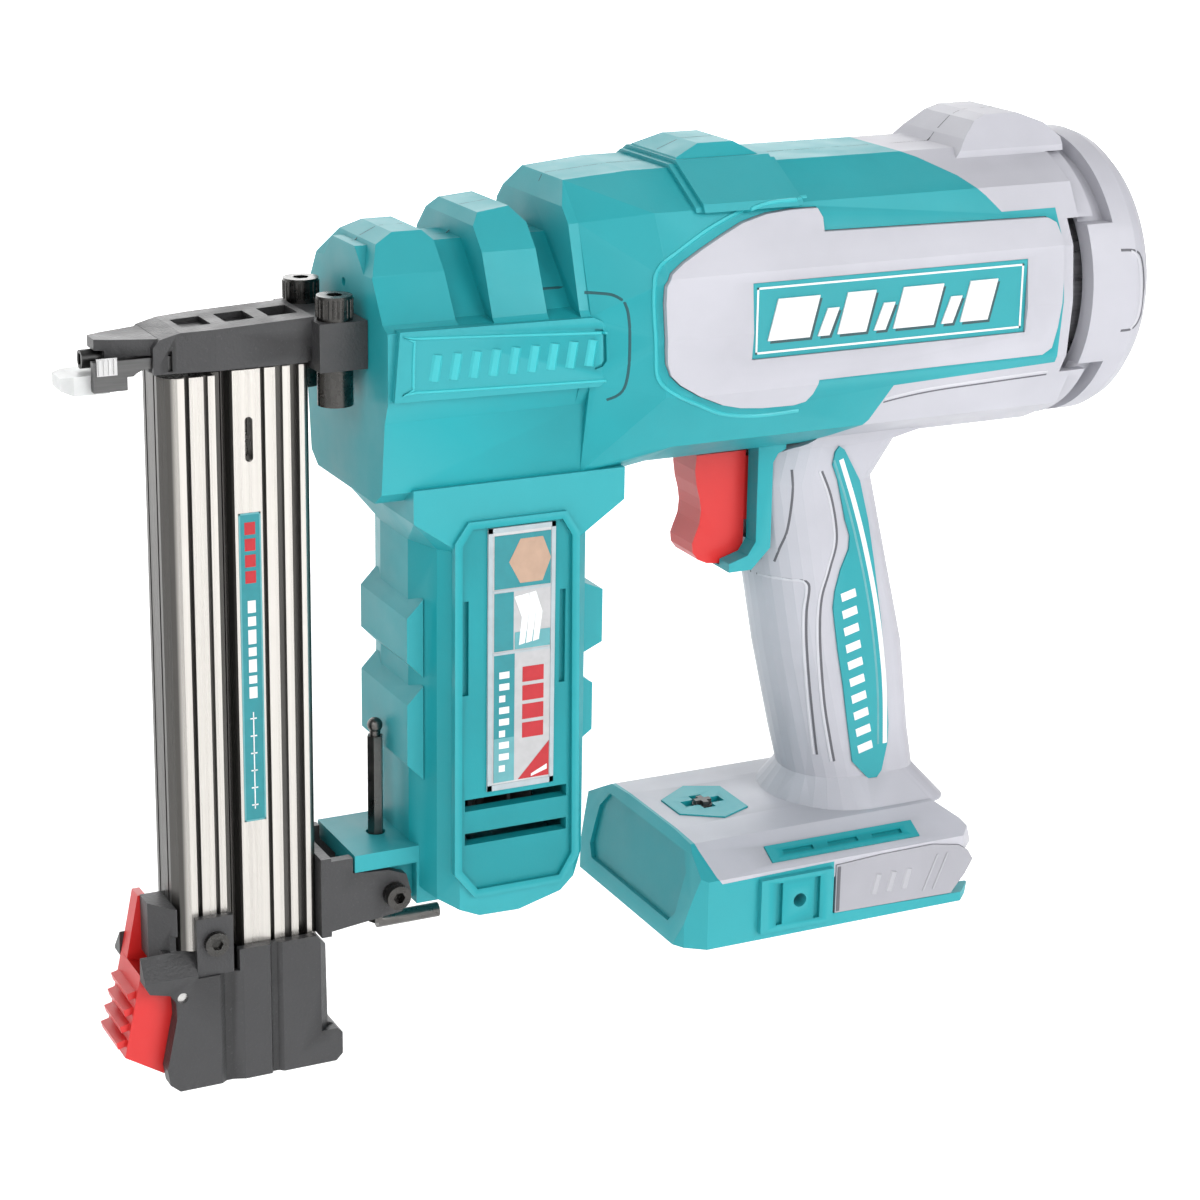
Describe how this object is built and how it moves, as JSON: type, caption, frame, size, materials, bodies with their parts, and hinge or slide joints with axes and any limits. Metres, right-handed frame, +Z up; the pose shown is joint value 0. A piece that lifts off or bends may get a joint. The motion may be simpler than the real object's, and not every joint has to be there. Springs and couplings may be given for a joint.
{
  "type": "cordless brad nailer",
  "caption": "Cordless brad nailer with a straight magazine, motor column, closed handle and sliding battery base, shown without its battery.",
  "frame": {"origin": "on the floor plane under the magazine foot, at the middle of the tool's length and width", "axes": "+X runs from the nose tip back to the rear end cap, +Y across the tool to the right of a user holding it, +Z up from the foot to the barrel"},
  "size_m": [0.3154, 0.0844, 0.256],
  "materials": {
    "teal_shell": "moulded glass-filled nylon, fine grain",
    "teal_trim": "moulded nylon, satin",
    "grey_shell": "moulded glass-filled nylon, fine grain",
    "grey_panel": "moulded nylon, satin",
    "label": "printed film",
    "black_plastic": "moulded nylon",
    "circuit_board": "coated board",
    "red_plastic": "moulded nylon, semi gloss",
    "spring_steel": "drawn wire",
    "ground_steel": "ground and hardened",
    "plated_steel": "dark zinc plate",
    "key_steel": "dark bright steel",
    "black_screws": "black oxide",
    "cast_alloy": "cast, machined",
    "ring_nylon": "moulded nylon",
    "drawn_alloy": "drawn tube",
    "rubber_parts": "moulded elastomer",
    "black_casting": "black coated casting, sandy",
    "extrusion": "extruded, natural",
    "clear_tip": "soft milky polymer"
  },
  "bodies": {
    "housing": {"front_housing_left": "teal_shell", "front_housing_right": "teal_shell", "rear_housing_left": "grey_shell", "rear_housing_right": "grey_shell", "side_cover_left": "grey_shell", "side_cover_right": "grey_shell", "badge_plates": "teal_trim", "end_cap": "grey_shell", "grip_inserts": "teal_trim", "column_label": "label", "battery_shoe": "teal_shell", "shoe_panels": "grey_panel", "vent_strips": "teal_trim", "button_bezel": "teal_shell", "button_spring": "spring_steel", "trigger_spring": "spring_steel", "trigger_switch": "black_plastic", "control_board": "circuit_board", "terminal_block": "black_plastic", "motor_can": "plated_steel", "motor_bearings": "ground_steel", "ring_gear": "ring_nylon", "gear_frame": "cast_alloy", "bumper": "rubber_parts", "cylinder_sleeve": "drawn_alloy", "gas_tank": "drawn_alloy", "tank_cap": "cast_alloy", "nose_block": "black_casting", "nose_guide": "ground_steel", "nose_screws": "black_screws", "trip_spring": "spring_steel", "magazine_rail": "extrusion", "support_bracket": "black_casting", "bracket_screws": "black_screws", "housing_screws": "black_screws"},
    "lifter": {"lift_wheel": "ground_steel", "lift_pins": "ground_steel"},
    "output_shaft": {"planet_carrier": "ground_steel", "output_pinion": "ground_steel"},
    "rotor": {"motor_rotor": "ground_steel", "cooling_fan": "black_plastic", "sun_gear": "ground_steel"},
    "planet_a": {"planet_gear_a": "ground_steel"},
    "planet_b": {"planet_gear_b": "ground_steel"},
    "planet_c": {"planet_gear_c": "ground_steel"},
    "driver": {"driver_blade": "ground_steel", "piston": "cast_alloy", "piston_seal": "rubber_parts"},
    "trigger": {"trigger": "red_plastic"},
    "mode_button": {"mode_button": "black_plastic"},
    "contact_arm": {"contact_trip": "plated_steel", "no_mar_tip": "clear_tip"},
    "magazine_slide": {"magazine_cover": "extrusion", "magazine_foot": "black_casting", "foot_screws": "black_screws", "latch_pin": "ground_steel"},
    "latch": {"magazine_latch": "red_plastic"},
    "pusher": {"nail_pusher": "ground_steel", "pusher_spring": "spring_steel"},
    "key": {"hex_key": "key_steel"}
  },
  "joints": [
    {"name": "lift_wheel_turn", "type": "hinge", "parent": "housing", "child": "lifter", "pos_m": [-0.02463, 0.0105, 0.199], "axis": [0, 0, 1], "range_deg": [0, 286]},
    {"name": "output_shaft_turn", "type": "hinge", "parent": "housing", "child": "output_shaft", "pos_m": [-0.03925, 0, 0.17], "axis": [0, 0, 1], "range_deg": [-576, 0]},
    {"name": "motor_turn", "type": "hinge", "parent": "housing", "child": "rotor", "pos_m": [-0.03925, 0, 0.11], "axis": [0, 0, 1], "range_deg": [-2300, 0]},
    {"name": "planet_a_turn", "type": "hinge", "parent": "output_shaft", "child": "planet_a", "pos_m": [-0.02845, 0, 0.15], "axis": [0, 0, 1], "range_deg": [0, 1724]},
    {"name": "planet_b_turn", "type": "hinge", "parent": "output_shaft", "child": "planet_b", "pos_m": [-0.04465, 0.00935, 0.15], "axis": [0, 0, 1], "range_deg": [0, 1724]},
    {"name": "planet_c_turn", "type": "hinge", "parent": "output_shaft", "child": "planet_c", "pos_m": [-0.04465, -0.00935, 0.15], "axis": [0, 0, 1], "range_deg": [0, 1724]},
    {"name": "driver_stroke", "type": "slide", "parent": "housing", "child": "driver", "axis": [1, 0, 0], "range_m": [0, 0.055]},
    {"name": "trigger_pull", "type": "slide", "parent": "housing", "child": "trigger", "axis": [1, 0, 0], "range_m": [0, 0.005], "stiffness_N_per_m": 900, "springref_m": -0.004, "deforming": ["trigger_spring"]},
    {"name": "button_press", "type": "slide", "parent": "housing", "child": "mode_button", "axis": [0, 0, -1], "range_m": [0, 0.001], "stiffness_N_per_m": 1200, "springref_m": -0.001, "deforming": ["button_spring"]},
    {"name": "contact_arm_press", "type": "slide", "parent": "housing", "child": "contact_arm", "axis": [1, 0, 0], "range_m": [0, 0.005], "stiffness_N_per_m": 600, "springref_m": -0.004, "deforming": ["trip_spring"]},
    {"name": "magazine_opening", "type": "slide", "parent": "housing", "child": "magazine_slide", "axis": [0, 0, -1], "range_m": [0, 0.13]},
    {"name": "latch_press", "type": "hinge", "parent": "magazine_slide", "child": "latch", "pos_m": [-0.13285, 0, 0.028], "axis": [0, -1, 0], "range_deg": [0, 8], "stiffness_Nm_per_rad": 0.3, "springref_deg": -11.46},
    {"name": "pusher_travel", "type": "slide", "parent": "housing", "child": "pusher", "axis": [0, 0, -1], "range_m": [0, 0.12], "stiffness_N_per_m": 12, "springref_m": -0.3},
    {"name": "key_removal", "type": "slide", "parent": "housing", "child": "key", "axis": [0, 0, -1], "range_m": [0, 0.06]}
  ],
  "couplings": [
    {"joint": "output_shaft_turn", "follows": "lift_wheel_turn", "ratio": -2},
    {"joint": "motor_turn", "follows": "lift_wheel_turn", "ratio": -8},
    {"joint": "driver_stroke", "follows": "lift_wheel_turn", "m_per_rad": 0.011},
    {"joint": "planet_a_turn", "follows": "lift_wheel_turn", "ratio": 6},
    {"joint": "planet_b_turn", "follows": "lift_wheel_turn", "ratio": 6},
    {"joint": "planet_c_turn", "follows": "lift_wheel_turn", "ratio": 6}
  ]
}
